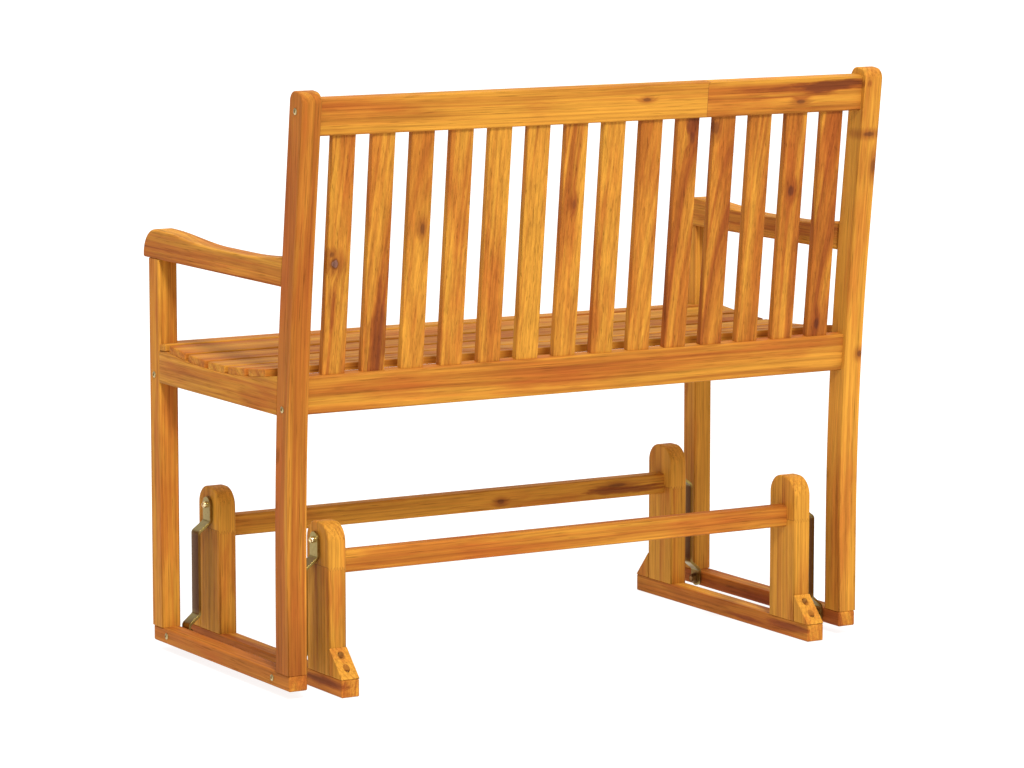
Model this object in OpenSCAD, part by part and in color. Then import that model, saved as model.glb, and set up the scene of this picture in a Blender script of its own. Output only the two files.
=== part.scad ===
// Garden glider bench: a slatted two-seat bench that hangs on four steel links
// from a low wooden base. The bench faces -Y and +Z is up, with the floor at
// z = 0. Left is the sitter's left, on the +X side. All sizes are millimetres.

/* [Overall] */
// Width over the side frames
bench_w = 1025; // [800:5:1500]
// Depth from the front of the feet to the back of the post tops
bench_d = 550; // [545:1:580]
// Height of the post tops
bench_h = 913; // [880:1:1000]

/* [Side frames] */
// Thickness of posts, legs and side rails, across the bench
side_t = 32.5; // [30:0.5:40]
// Depth of each back post, front to back
post_d = 42; // [40:0.5:48]
// Radius of the rounded corners at the post tops
post_top_r = 16; // [6:1:19]
// Height at which the posts start to bend backwards
bend_z = 178; // [120:1:240]
// Radius of the bend, on the post's middle line
bend_r = 3920; // [3000:10:4500]
// Angle of the posts above the bend, from upright
rake = 6.87; // [4:0.01:9]
// Depth of each front leg, front to back
leg_d = 35.5; // [32:0.5:42]
// Depth of the side frames at the floor, front of the legs to back of the posts
frame_d = 466; // [440:1:475]
// Gap between the floor and the bottom rails
floor_gap = 13; // [8:0.5:20]
// Height of the bottom rails
bottom_rail_h = 24.5; // [24:0.5:34]
// Setback of the bottom rails behind the outer faces and the legs' fronts
bottom_rail_set = 1.5; // [0.5:0.1:3]

/* [Arms] */
// Width of each arm, across the bench
arm_w = 34.5; // [33:0.5:60]
// Height of the arms' flat undersides
arm_z = 620; // [590:1:660]
// Height of the arm at its crest, just behind the nose
arm_nose_h = 46.75; // [44:0.25:56]
// Height of the arm at the dip, where the hand rests
arm_dip_h = 36; // [30:0.5:42]
// Height of the arm where it meets the post
arm_back_h = 46; // [40:0.5:50]
// Overhang of the arm in front of the leg
arm_nose = 19.5; // [12:0.5:30]
// Radius of the rounded nose
arm_nose_r = 42; // [24:0.5:44]
// Length of the fall behind the crest
arm_fall = 198; // [150:1:220]
// Length of the rise in front of the post
arm_rise = 158; // [100:1:165]

/* [Seat] */
// Height of the seat's lowest line, under the slats
seat_z = 468.5; // [455:0.5:490]
// Distance from the seat's front edge to its lowest line
seat_low = 222; // [190:1:250]
// Radius of the seat's hollow
seat_r = 1300; // [1000:10:2500]
// Drop of the seat's front edge below the hollow's line
seat_front_drop = 14; // [6:0.5:16]
// Number of seat slats
seat_slats = 6; // [4:1:6]
// Width of each seat slat
seat_slat_w = 57; // [50:0.5:58]
// Thickness of each seat slat
seat_slat_t = 11.5; // [9:0.5:16]
// Gap between two seat slats
seat_slat_gap = 11; // [6:0.5:12]
// Setback of the slat ends from the outer faces
seat_slat_set = 1; // [0:0.5:6]
// Height of the undersides of the side seat rails
seat_rail_z = 426.5; // [418:0.5:432]
// Height of the underside of the front apron
apron_z = 425; // [415:0.5:428]
// Thickness of the front apron
apron_t = 24; // [20:0.5:28]
// Width of the middle bearer
bearer_w = 28; // [22:0.5:40]
// Height of the underside of the middle bearer
bearer_z = 431; // [424:0.5:438]

/* [Back] */
// Thickness of the two back rails
rail_t = 24; // [22:0.5:30]
// Height of the lower back rail
low_rail_h = 58.5; // [54:0.5:66]
// Height of the lower back rail's middle line
low_rail_z = 458.75; // [456:0.25:470]
// Height of the top rail
top_rail_h = 55.5; // [50:0.5:64]
// Distance of the top rail's middle line below the post tops
top_rail_drop = 38.75; // [36:0.25:48]
// Number of back slats
back_slats = 14; // [8:1:14]
// Width of each back slat
back_slat_w = 38.5; // [30:0.5:42]
// Thickness of each back slat
back_slat_t = 13; // [9:0.5:16]
// Depth of the slats' ends in the rails
slat_tenon = 10; // [6:0.5:13]

/* [Base] */
// Thickness of feet, uprights and gussets, across the bench
base_t = 30; // [28:0.5:36]
// Gap between the side frames and the base frames
base_gap = 45.5; // [42:0.5:60]
// Length of each foot
foot_len = 514.5; // [500:0.5:530]
// Height of each foot
foot_h = 27; // [24:0.5:36]
// Width of each upright
upright_w = 72; // [64:0.5:78]
// Height of the uprights' tops
upright_z = 258; // [254:0.5:290]
// Radius of the uprights' top corners
upright_r = 30; // [10:0.5:31]
// Length of the front gussets
front_gusset = 35.5; // [30:0.5:44]
// Length of the rear gussets
rear_gusset = 40; // [34:0.5:48]
// Height of the gussets above the feet
gusset_h = 42.5; // [40:0.5:52]
// Thickness of the gussets' tips
gusset_toe = 2; // [1:0.5:4]
// Height of the two stretchers
stretcher_h = 33.5; // [31:0.5:38]
// Thickness of the two stretchers
stretcher_t = 26; // [20:0.5:34]
// Height of the stretchers' middle lines
stretcher_z = 194; // [150:1:196]

/* [Links] */
// Distance between the front and the rear pivots
pivot_gap = 362; // [350:1:372]
// Distance of the rear pivots in front of the posts' backs, at the bottom rails
pivot_set = 55.83; // [45:0.01:65]
// Distance of the pivots inside the uprights' middle lines
upright_set = 2.5; // [0:0.5:6]
// Height of the upper pivots
upper_pivot_z = 230; // [226:0.5:234]
// Height of the lower pivots
lower_pivot_z = 26; // [25:0.25:27]
// Width of the link straps
link_w = 25; // [20:0.5:26]
// Thickness of the link straps
link_t = 4; // [3:0.5:5]
// Outward step of the straps below their upper tabs
link_step = 20.5; // [14:0.5:24]
// Length of the straps' flat tabs below the upper pivots
upper_tab = 27; // [24:0.5:34]
// Length of the straps' flat tabs above the lower pivots
lower_tab = 15.5; // [14:0.5:22]
// Height of each sloped stretch of the straps
link_slope = 15; // [12:0.5:24]
// Radius of the straps' bends, on the middle line
link_bend = 6; // [4:0.5:8]
// Radius of the pivot bolts
pivot_r = 4; // [3:0.25:4.5]
// Radial running clearance of the links on the pivot bolts
pivot_play = 0.08; // [0.04:0.01:0.1]
// Thickness of the pivot washers
washer_t = 1.5; // [1:0.1:2]
// Radius of the pivot washers
washer_r = 9; // [8:0.5:10]

/* [Fixings] */
// Radius of the frame bolts
bolt_r = 3; // [2.5:0.25:3]
// Radius of the bolts' low domed heads
bolt_head_r = 5; // [4.75:0.25:6]
// Height of the low domed heads
bolt_head_t = 2.2; // [1.8:0.1:3]
// Height of the taller heads on the upper pivots
cap_head_t = 7; // [5:0.25:9]
// Depth of the frame bolts in the cross rails
bolt_reach = 45; // [40:1:60]
// Height of the bolts through the legs and the lower back rail
low_bolt_z = 438; // [436:0.5:440]
// Height of the upper bolts above the top rail's middle line
top_bolt_up = 9; // [6:0.5:12]
// Radius of the barrel nuts
barrel_r = 5; // [4.5:0.25:5.5]
// Length of the barrel nuts
barrel_len = 16; // [12:0.5:18]
// Radius of the wooden dowels
dowel_r = 4; // [3:0.25:4]
// Length of the wooden dowels
dowel_len = 30; // [20:1:32]
// Radius of the gusset screws' heads
screw_head_r = 4.4; // [4:0.1:4.8]
// Radius of the round recesses over the gusset screws
screw_well_r = 5.3; // [5:0.1:6]
// Radius of the screws' shanks
screw_r = 2.2; // [1.8:0.1:2.5]
// Radius of the pegs that hold the seat slats from below
peg_r = 3; // [2:0.25:3.5]
// Depth of the pegs in the slats
peg_up = 7; // [4:0.5:8]
// Depth of the pegs in the rails and the bearer
peg_down = 16; // [10:1:18]

/* [Hidden] */

// Clearances: glued and bolted joints, sliding faces, and the reach of cuts
fit = 0.05;
joint_gap = 0.1;
notch_gap = 0.4;
slide_gap = 0.1;
hole_end = 0.5;
cut = 60;
steps = 12;
bend_steps = 6;
$fn = 48;

// Side frame planes
out_x = bench_w / 2;
in_x = out_x - side_t;
side_x = (out_x + in_x) / 2;

// Middle line of a back post
half_post = post_d / 2;
bend_h = bend_r * sin(rake);
bend_y = bend_r * (1 - cos(rake));
post_top_z = bench_h - post_top_r * (1 - cos(rake)) - (half_post - post_top_r) * sin(rake);
top_run = bend_y + (post_top_z - bend_z - bend_h) * tan(rake);
rear_run = top_run + post_top_r * (1 - sin(rake)) + (half_post - post_top_r) * cos(rake);
post_y = bench_d / 2 - rear_run;
post_z = floor_gap + bottom_rail_h;

// Front legs and bottom rails
leg_front = post_y + half_post - frame_d;
leg_back = leg_front + leg_d;
leg_y = (leg_front + leg_back) / 2;

// Seat line: flats between the middles of the slat gaps, then up to the posts
seat_front = leg_front - joint_gap;
slat_pitch = seat_slat_w + seat_slat_gap;
low_y = seat_front + seat_low;
seat_end_y = post_y + half_post;
seat_line = [
  for (i = [0:seat_slats]) seat_point(seat_front - seat_slat_gap / 2 + i * slat_pitch, i),
  seat_point(seat_end_y, 1)
];

// Arms
arm_front = leg_front - arm_nose;
crest_y = arm_front + arm_nose_r;
arm_end = line_y(arm_z) - half_post / 2;

// Back panel: both rails and the slats lie in one plane between the posts
top_rail_z = bench_h - top_rail_drop;
panel_low = [line_y(low_rail_z), low_rail_z];
panel_top = [line_y(top_rail_z), top_rail_z];
panel_a = atan2(panel_top[0] - panel_low[0], panel_top[1] - panel_low[1]);
panel_h = norm(panel_top - panel_low);
low_bolt = (low_bolt_z - low_rail_z) / cos(panel_a);
top_bolt = panel_h + top_bolt_up;
low_dowel = low_rail_h / 4;
top_dowel = panel_h - top_rail_h / 4;

// Base planes and pivots
base_out = in_x - base_gap;
base_in = base_out - base_t;
base_x = (base_out + base_in) / 2;
foot_front = -bench_d / 2;
rear_pivot = post_y + half_post - pivot_set;
front_pivot = rear_pivot - pivot_gap;
pivots = [front_pivot, rear_pivot];
front_y = front_pivot - upright_set;
rear_y = rear_pivot + upright_set;

// Link strap: middle planes of its upper tab, long stretch and lower tab
upper_tab_x = base_out + washer_t + slide_gap + link_t / 2;
mid_x = upper_tab_x + link_step;
lower_tab_x = in_x - washer_t - slide_gap - link_t / 2;
upper_bend_z = upper_pivot_z - upper_tab;
lower_bend_z = lower_pivot_z + lower_tab;

// Dowels: where each one crosses its joint
seat_dowel_up = 22;
apron_dowel_up = 38;
bearer_dowel_up = 18;
seat_dowel_z = seat_rail_z + seat_dowel_up;
apron_dowel_z = apron_z + apron_dowel_up;
bearer_dowel_z = bearer_z + bearer_dowel_up;
bearer_front = leg_y + apron_t / 2;
bearer_back = line_y(low_rail_z) - rail_t / 2 / cos(panel_a)
  + (bearer_dowel_z - low_rail_z) * tan(panel_a);
stretcher_dowels = [stretcher_z - stretcher_h / 4, stretcher_z + stretcher_h / 4];
foot_dowel_set = 20;
leg_dowel_set = 12;

// Fixings
head_edge = 1;
nut_r = 7.5;
nut_h = 6;
nut_x = lower_tab_x - link_t / 2 - slide_gap - washer_t;
bolt_past_nut = 1;
socket_r = 2.3;
socket_t = 1.6;
pivot_reach = 22;
barrel_back = 10;
barrel_x = in_x - bolt_reach + barrel_back;
barrel_seat = 4;
screw_up = 32;
screw_set = 13.5;
screw_wall = 5;
screw_seat = 9;
screw_head_t = 3;
screw_len = 26;
screw_skin = 6;
peg_inset = 9;

function line_y(z) =
  z <= bend_z ? post_y :
  z <= bend_z + bend_h ? post_y + bend_r - sqrt(bend_r * bend_r - pow(z - bend_z, 2)) :
  post_y + bend_y + (z - bend_z - bend_h) * tan(rake);

function seat_point(y, i) =
  [y, seat_z + pow(y - low_y, 2) / (2 * seat_r) - (i == 0 ? seat_front_drop : 0)];

function seat_h(y) = lookup(y, seat_line);

function panel_point(along) =
  [panel_low[0] + along * sin(panel_a), panel_low[1] + along * cos(panel_a)];

function arc(c, r, a0, a1, n) =
  [for (i = [0:n]) c + r * [cos(a0 + (a1 - a0) * i / n), sin(a0 + (a1 - a0) * i / n)]];

// Outline of a post seen from the side, up its front and down its back
function post_outline() =
  let(
    h = half_post,
    r = post_top_r,
    along = [sin(rake), cos(rake)],
    across = [cos(rake), -sin(rake)],
    top = [post_y + top_run, post_top_z] - r * along,
    c = [post_y + bend_r, bend_z]
  )
  concat(
    [[post_y - h, post_z]],
    arc(c, bend_r + h, 180, 180 - rake, steps),
    arc(top - (h - r) * across, r, 180 - rake, 90 - rake, steps),
    arc(top + (h - r) * across, r, 90 - rake, -rake, steps),
    arc(c, bend_r - h, 180 - rake, 180, steps),
    [[post_y + h, post_z]]
  );

// Top of an arm behind its nose: a smooth fall, a flat stretch and a rise to the post
function arm_top() = concat(
  [for (i = [1:steps])
    [crest_y + arm_fall * i / steps,
     arm_z + arm_dip_h + (arm_nose_h - arm_dip_h) * (1 + cos(180 * i / steps)) / 2]],
  [for (i = [0:steps])
    [arm_end - arm_rise * (1 - i / steps),
     arm_z + arm_dip_h + (arm_back_h - arm_dip_h) * pow(i / steps, 2)]]
);

function heading(a, b) = atan2(b[1] - a[1], b[0] - a[0]);
function side(a) = [-sin(a), cos(a)];
function bend(p, v, q) =
  let(
    a = heading(p, v),
    b = heading(v, q),
    s = sign(b - a),
    t = link_bend * tan(abs(b - a) / 2),
    c = v - t * [cos(a), sin(a)] + s * link_bend * side(a)
  )
  [for (i = [0:bend_steps]) let(f = a + (b - a) * i / bend_steps)
    concat(c - s * link_bend * side(f), f)];

// Draws a side-view outline (y, z) as a board of thickness t from x outwards
module board(x, t) {
  translate([x, 0, 0])
    rotate([90, 0, 90])
      linear_extrude(t)
        children();
}

module both_sides() {
  children();
  mirror([1, 0, 0])
    children();
}

// Places children in the plane of the back, along its slope from the low rail
module on_panel(along) {
  p = panel_point(along);
  translate([0, p[0], p[1]])
    rotate([-panel_a, 0, 0])
      children();
}

module rod_x(y, z, x0, x1, r) {
  translate([x0, y, z])
    rotate([0, 90, 0])
      cylinder(r = r, h = x1 - x0);
}

module rod_y(x, z, y0, y1, r) {
  translate([x, y1, z])
    rotate([90, 0, 0])
      cylinder(r = r, h = y1 - y0);
}

module rod_z(x, y, z0, z1, r) {
  translate([x, y, z0])
    cylinder(r = r, h = z1 - z0);
}

// Dowels of the bench frame on the left side, or their holes
module frame_pins(r, half) {
  rod_x(panel_point(low_dowel)[0], panel_point(low_dowel)[1], in_x - half, in_x + half, r);
  rod_x(panel_point(top_dowel)[0], panel_point(top_dowel)[1], in_x - half, in_x + half, r);
  rod_x(leg_y, apron_dowel_z, in_x - half, in_x + half, r);
  rod_z(side_x, leg_front + leg_dowel_set, post_z - half, post_z + half, r);
  rod_z(side_x, post_y, post_z - half, post_z + half, r);
  rod_z(side_x, leg_y, arm_z - half, arm_z + half, r);
  arm_pin_y = line_y(arm_z + arm_back_h / 2) - half_post;
  rod_y(side_x, arm_z + arm_back_h / 2, arm_pin_y - half, arm_pin_y + half, r);
  rod_y(side_x, seat_dowel_z, leg_back - half, leg_back + half, r);
  seat_pin_y = line_y(seat_dowel_z) - half_post;
  rod_y(side_x, seat_dowel_z, seat_pin_y - half, seat_pin_y + half, r);
}

// Dowels at the two ends of the middle bearer
module bearer_pins(r, half) {
  rod_y(0, bearer_dowel_z, bearer_front - half, bearer_front + half, r);
  rod_y(0, bearer_dowel_z, bearer_back - half, bearer_back + half, r);
}

module frame_pin_holes() {
  frame_pins(dowel_r + fit, dowel_len / 2 + hole_end);
}

// Bolts that pull the cross rails against the left side frame
bolt_points = [
  [leg_y, low_bolt_z],
  panel_point(low_bolt),
  panel_point(top_bolt)
];

module bolt_holes() {
  for (p = bolt_points)
    rod_x(p[0], p[1], in_x - bolt_reach - hole_end, out_x + cut, bolt_r + fit);
}

// Frame pieces on the left side
module post() {
  difference() {
    board(in_x, side_t)
      polygon(post_outline());
    frame_pin_holes();
    bolt_holes();
  }
}

module front_leg() {
  difference() {
    translate([in_x, leg_front, post_z])
      cube([side_t, leg_d, arm_z - post_z]);
    frame_pin_holes();
    bolt_holes();
  }
}

module arm() {
  nose = [arm_front + arm_nose_r, arm_z + arm_nose_h - arm_nose_r];
  difference() {
    board(out_x - arm_w, arm_w)
      polygon(concat(
        [[arm_front, arm_z]],
        arc(nose, arm_nose_r, 180, 90, 2 * steps),
        arm_top(),
        [[arm_end, arm_z]]
      ));
    board(out_x - arm_w - cut, arm_w + 2 * cut)
      polygon(post_outline());
    frame_pin_holes();
  }
}

module bottom_rail() {
  difference() {
    translate([in_x, leg_front + bottom_rail_set, floor_gap])
      cube([side_t - bottom_rail_set, frame_d - bottom_rail_set, bottom_rail_h]);
    frame_pin_holes();
    for (y = pivots)
      rod_x(y, lower_pivot_z, in_x - cut, out_x + cut, pivot_r + fit);
  }
}

module seat_rail() {
  top = [for (p = seat_line) if (p[0] > leg_back) p];
  difference() {
    board(in_x, side_t)
      polygon(concat(
        [[leg_back, seat_rail_z], [leg_back, seat_h(leg_back)]],
        top,
        [[seat_end_y, seat_rail_z]]
      ));
    board(in_x - cut, side_t + 2 * cut)
      polygon(post_outline());
    frame_pin_holes();
    seat_peg_holes();
  }
}

// Cross rails, slats and bearer
module top_rail() {
  color("peru")
    difference() {
      on_panel(panel_h)
        translate([-in_x, -rail_t / 2, -top_rail_h / 2])
          cube([2 * in_x, rail_t, top_rail_h]);
      slat_mortises();
      both_sides() {
        frame_pin_holes();
        bolt_holes();
        barrel_holes();
      }
    }
}

module lower_back_rail() {
  color("goldenrod")
    difference() {
      on_panel(0)
        translate([-in_x, -rail_t / 2, -low_rail_h / 2])
          cube([2 * in_x, rail_t, low_rail_h]);
      slat_mortises();
      bearer_pins(dowel_r + fit, dowel_len / 2 + hole_end);
      both_sides() {
        frame_pin_holes();
        bolt_holes();
        barrel_holes();
      }
    }
}

module front_apron() {
  y0 = leg_y - apron_t / 2;
  y1 = leg_y + apron_t / 2;
  color("goldenrod")
    difference() {
      board(-in_x, 2 * in_x)
        polygon([[y0, apron_z], [y1, apron_z], [y1, seat_h(y1)], [y0, seat_h(y0)]]);
      bearer_pins(dowel_r + fit, dowel_len / 2 + hole_end);
      both_sides() {
        frame_pin_holes();
        bolt_holes();
        barrel_holes();
      }
    }
}

module seat_bearer() {
  top = [for (p = seat_line) if (p[0] > bearer_front) p];
  color("goldenrod")
    difference() {
      board(-bearer_w / 2, bearer_w)
        polygon(concat(
          [[bearer_front, bearer_z], [bearer_front, seat_h(bearer_front)]],
          top,
          [[seat_end_y, bearer_z]]
        ));
      on_panel(0)
        translate([-cut, -rail_t / 2, -2 * low_rail_h])
          cube([2 * cut, 4 * rail_t, 4 * low_rail_h]);
      bearer_pins(dowel_r + fit, dowel_len / 2 + hole_end);
      seat_peg_holes();
    }
}

slat_len = panel_h - low_rail_h / 2 - top_rail_h / 2 + 2 * slat_tenon;
slat_space = (2 * in_x - back_slats * back_slat_w) / (back_slats + 1);
function slat_x(i) = in_x - slat_space - back_slat_w / 2 - (i - 1) * (slat_space + back_slat_w);

module slat_mortises() {
  on_panel(low_rail_h / 2 - slat_tenon - joint_gap)
    for (i = [1:back_slats])
      translate([slat_x(i) - back_slat_w / 2 - joint_gap, -back_slat_t / 2 - joint_gap, 0])
        cube([back_slat_w + 2 * joint_gap, back_slat_t + 2 * joint_gap, slat_len + 2 * joint_gap]);
}

module back_slat(i) {
  if (i <= back_slats)
    color(i % 3 == 0 ? "peru" : i % 3 == 1 ? "goldenrod" : "sandybrown")
      on_panel(low_rail_h / 2 - slat_tenon)
        translate([slat_x(i) - back_slat_w / 2, -back_slat_t / 2, 0])
          cube([back_slat_w, back_slat_t, slat_len]);
}

// Places children on flat number i of the seat line, at its middle
module on_seat(i) {
  a = seat_line[i - 1];
  b = seat_line[i];
  translate([0, (a[0] + b[0]) / 2, (a[1] + b[1]) / 2])
    rotate([heading(a, b), 0, 0])
      children();
}

// Pegs under each slat: one in either side rail and one in the middle bearer
module at_pegs(i) {
  on_seat(i)
    for (x = [-side_x, 0, side_x])
      translate([x, i == 1 ? seat_slat_w / 2 - peg_inset : 0, 0])
        children();
}

module seat_peg_holes() {
  for (i = [1:seat_slats])
    at_pegs(i)
      rod_z(0, 0, -peg_down - hole_end, peg_up + hole_end, peg_r + fit);
}

module seat_slat(i) {
  half = out_x - seat_slat_set;
  if (i <= seat_slats)
    color(i % 2 == 0 ? "sandybrown" : "goldenrod")
      difference() {
        on_seat(i)
          translate([-half, -seat_slat_w / 2, fit])
            cube([2 * half, seat_slat_w, seat_slat_t]);
        both_sides()
          translate([in_x - notch_gap, leg_front - cut, arm_z / 2])
            cube([side_t + cut, leg_d + cut + notch_gap, arm_z / 2]);
        seat_peg_holes();
      }
}

module seat_pegs() {
  color("burlywood")
    for (i = [1:seat_slats])
      at_pegs(i)
        rod_z(0, 0, -peg_down, peg_up, peg_r);
}

// Domed head standing on a face, along +Z: a short straight edge and a cap
module dome(r, h) {
  cap = h - head_edge;
  ball = (r * r + cap * cap) / (2 * cap);
  cylinder(r = r, h = head_edge);
  intersection() {
    translate([0, 0, h - ball])
      sphere(r = ball);
    cylinder(r = r, h = h);
  }
}

// Bolt with a low head and a hexagon socket, its head outwards at face_x
module socket_bolt(y, z, face_x, end_x, r) {
  difference() {
    union() {
      rod_x(y, z, end_x, face_x, r);
      translate([face_x, y, z])
        rotate([0, 90, 0])
          dome(bolt_head_r, bolt_head_t);
    }
    translate([face_x + bolt_head_t - socket_t, y, z])
      rotate([0, 90, 0])
        cylinder(r = socket_r, h = cut, $fn = 6);
  }
}

module frame_bolts() {
  color("silver")
    both_sides()
      for (p = bolt_points)
        socket_bolt(p[0], p[1], out_x, in_x - bolt_reach, bolt_r);
}

// Barrel nuts lie across the bolts, let in from the back of the apron and from the
// front of the back rails
module at_barrels() {
  translate([barrel_x, leg_y + apron_t / 2, low_bolt_z])
    rotate([90, 0, 0])
      children();
  for (along = [low_bolt, top_bolt])
    on_panel(along)
      translate([barrel_x, -rail_t / 2, 0])
        rotate([-90, 0, 0])
          children();
}

module barrel_holes() {
  at_barrels()
    translate([0, 0, -cut])
      cylinder(r = barrel_r + fit, h = cut + barrel_seat + barrel_len + fit);
}

module barrel_nuts() {
  color("silver")
    both_sides()
      difference() {
        at_barrels()
          translate([0, 0, barrel_seat])
            cylinder(r = barrel_r, h = barrel_len);
        for (p = bolt_points)
          rod_x(p[0], p[1], in_x - bolt_reach - cut, out_x, bolt_r + fit);
      }
}

module frame_dowels() {
  color("burlywood") {
    both_sides()
      frame_pins(dowel_r, dowel_len / 2);
    bearer_pins(dowel_r, dowel_len / 2);
  }
}

module lower_pivot_bolts() {
  color("silver")
    both_sides()
      for (y = pivots)
        socket_bolt(y, lower_pivot_z, out_x - bottom_rail_set, nut_x - nut_h - bolt_past_nut,
                    pivot_r);
}

module washer(x, y, z) {
  difference() {
    rod_x(y, z, x, x + washer_t, washer_r);
    rod_x(y, z, x - cut, x + cut, pivot_r + fit);
  }
}

module lower_pivot_nuts() {
  color("silver")
    both_sides()
      for (y = pivots) {
        washer(in_x - washer_t, y, lower_pivot_z);
        washer(nut_x, y, lower_pivot_z);
        difference() {
          translate([nut_x - nut_h, y, lower_pivot_z])
            rotate([0, 90, 0])
              cylinder(r = nut_r, h = nut_h, $fn = 6);
          rod_x(y, lower_pivot_z, nut_x - cut, nut_x + cut, pivot_r + fit);
        }
      }
}

// Base, left side
module base_pins(r, half) {
  for (y = [front_y, rear_y]) {
    for (z = stretcher_dowels)
      rod_x(y, z, base_in - half, base_in + half, r);
    for (dy = [-foot_dowel_set, foot_dowel_set])
      rod_z(base_x, y + dy, foot_h - half, foot_h + half, r);
  }
}

module base_pin_holes() {
  base_pins(dowel_r + fit, dowel_len / 2 + hole_end);
}

// Places children at a gusset: x along the foot, outwards from the upright
module at_gusset(rear) {
  if (rear)
    translate([base_x, rear_y + upright_w / 2, foot_h])
      children();
  else
    translate([base_x, front_y - upright_w / 2, foot_h])
      mirror([0, 1, 0])
        children();
}

module base_screw_cuts(len) {
  rod_y(0, screw_up, -screw_len + screw_wall, cut, screw_r + fit);
  rod_z(0, len - screw_set, -foot_h + screw_skin, cut, screw_r + fit);
  rod_y(0, screw_up, screw_wall, cut, screw_well_r);
  rod_z(0, len - screw_set, screw_seat, cut, screw_well_r);
}

module foot() {
  color("goldenrod")
    difference() {
      translate([base_in, foot_front, 0])
        cube([base_t, foot_len, foot_h]);
      base_pin_holes();
      at_gusset(false)
        base_screw_cuts(front_gusset);
      at_gusset(true)
        base_screw_cuts(rear_gusset);
    }
}

module upright(rear) {
  y = rear ? rear_y : front_y;
  pivot = rear ? rear_pivot : front_pivot;
  r = upright_r;
  h = upright_z - foot_h;
  color("sandybrown")
    difference() {
      translate([0, y, foot_h])
        board(base_in, base_t)
          union() {
            translate([-upright_w / 2, 0])
              square([upright_w, h - r]);
            translate([-upright_w / 2 + r, 0])
              square([upright_w - 2 * r, h]);
            for (s = [-1, 1])
              translate([s * (upright_w / 2 - r), h - r])
                circle(r = r);
          }
      base_pin_holes();
      rod_x(pivot, upper_pivot_z, base_out - pivot_reach - hole_end, base_out + cut,
            pivot_r + fit);
      at_gusset(rear)
        rod_y(0, screw_up, -screw_len + screw_wall - hole_end, cut, screw_r + fit);
    }
}

module gusset(rear) {
  len = rear ? rear_gusset : front_gusset;
  color("goldenrod")
    difference() {
      at_gusset(rear)
        board(-base_t / 2, base_t)
          polygon([[0, 0], [len, 0], [len, gusset_toe], [0, gusset_h]]);
      at_gusset(rear)
        base_screw_cuts(len);
    }
}

module wood_screw(len) {
  cylinder(r = screw_r, h = len);
  translate([0, 0, len])
    cylinder(r = screw_head_r, h = screw_head_t);
}

module base_screws() {
  color("silver")
    both_sides()
      for (rear = [false, true])
        at_gusset(rear) {
          len = rear ? rear_gusset : front_gusset;
          translate([0, screw_wall - screw_len, screw_up])
            rotate([-90, 0, 0])
              wood_screw(screw_len);
          translate([0, len - screw_set, screw_seat - screw_len])
            wood_screw(screw_len);
        }
}

module base_dowels() {
  color("burlywood")
    both_sides()
      base_pins(dowel_r, dowel_len / 2);
}

module stretcher(y) {
  color("peru")
    difference() {
      translate([-base_in, y - stretcher_t / 2, stretcher_z - stretcher_h / 2])
        cube([2 * base_in, stretcher_t, stretcher_h]);
      both_sides()
        base_pin_holes();
    }
}

// Upper pivots: domed bolts screwed into the uprights, and their washers
module upper_pivot_bolts() {
  x = upper_tab_x + link_t / 2 + slide_gap;
  color("gold")
    both_sides()
      for (y = pivots) {
        rod_x(y, upper_pivot_z, base_out - pivot_reach, x, pivot_r);
        translate([x, y, upper_pivot_z])
          rotate([0, 90, 0])
            dome(bolt_head_r, cap_head_t);
      }
}

module upper_pivot_washers() {
  color("silver")
    both_sides()
      for (y = pivots)
        washer(base_out, y, upper_pivot_z);
}

// Link strap with two joggles, seen from the front as (x, z)
link_corners = [
  [upper_tab_x, upper_pivot_z + link_w / 2],
  [upper_tab_x, upper_bend_z],
  [mid_x, upper_bend_z - link_slope],
  [mid_x, lower_bend_z + link_slope],
  [lower_tab_x, lower_bend_z],
  [lower_tab_x, lower_pivot_z - link_w / 2]
];
link_path = concat(
  [concat(link_corners[0], -90)],
  [for (i = [1:4]) each bend(link_corners[i - 1], link_corners[i], link_corners[i + 1])],
  [concat(link_corners[5], -90)]
);
link_points = len(link_path);
link_outline = concat(
  [for (p = link_path) [p[0], p[1]] + link_t / 2 * side(p[2])],
  [for (i = [link_points - 1:-1:0])
    [link_path[i][0], link_path[i][1]] - link_t / 2 * side(link_path[i][2])]
);

module link(y) {
  color("darkkhaki")
    difference() {
      intersection() {
        translate([0, y + link_w / 2, 0])
          rotate([90, 0, 0])
            linear_extrude(link_w)
              polygon(link_outline);
        union() {
          rod_x(y, upper_pivot_z, base_out, in_x, link_w / 2);
          rod_x(y, lower_pivot_z, base_out, in_x, link_w / 2);
          translate([base_out, y - link_w / 2, lower_pivot_z])
            cube([in_x - base_out, link_w, upper_pivot_z - lower_pivot_z]);
        }
      }
      for (z = [lower_pivot_z, upper_pivot_z])
        rod_x(y, z, base_out - cut, in_x + cut, pivot_r + pivot_play);
    }
}

// The named pieces
module left_post() { color("peru") post(); }
module right_post() { color("goldenrod") mirror([1, 0, 0]) post(); }
module left_front_leg() { color("goldenrod") front_leg(); }
module right_front_leg() { color("goldenrod") mirror([1, 0, 0]) front_leg(); }
module left_arm() { color("peru") arm(); }
module right_arm() { color("peru") mirror([1, 0, 0]) arm(); }
module left_bottom_rail() { color("peru") bottom_rail(); }
module right_bottom_rail() { color("peru") mirror([1, 0, 0]) bottom_rail(); }
module left_seat_rail() { color("sandybrown") seat_rail(); }
module right_seat_rail() { color("sandybrown") mirror([1, 0, 0]) seat_rail(); }
module right_side() { mirror([1, 0, 0]) children(); }

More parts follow.
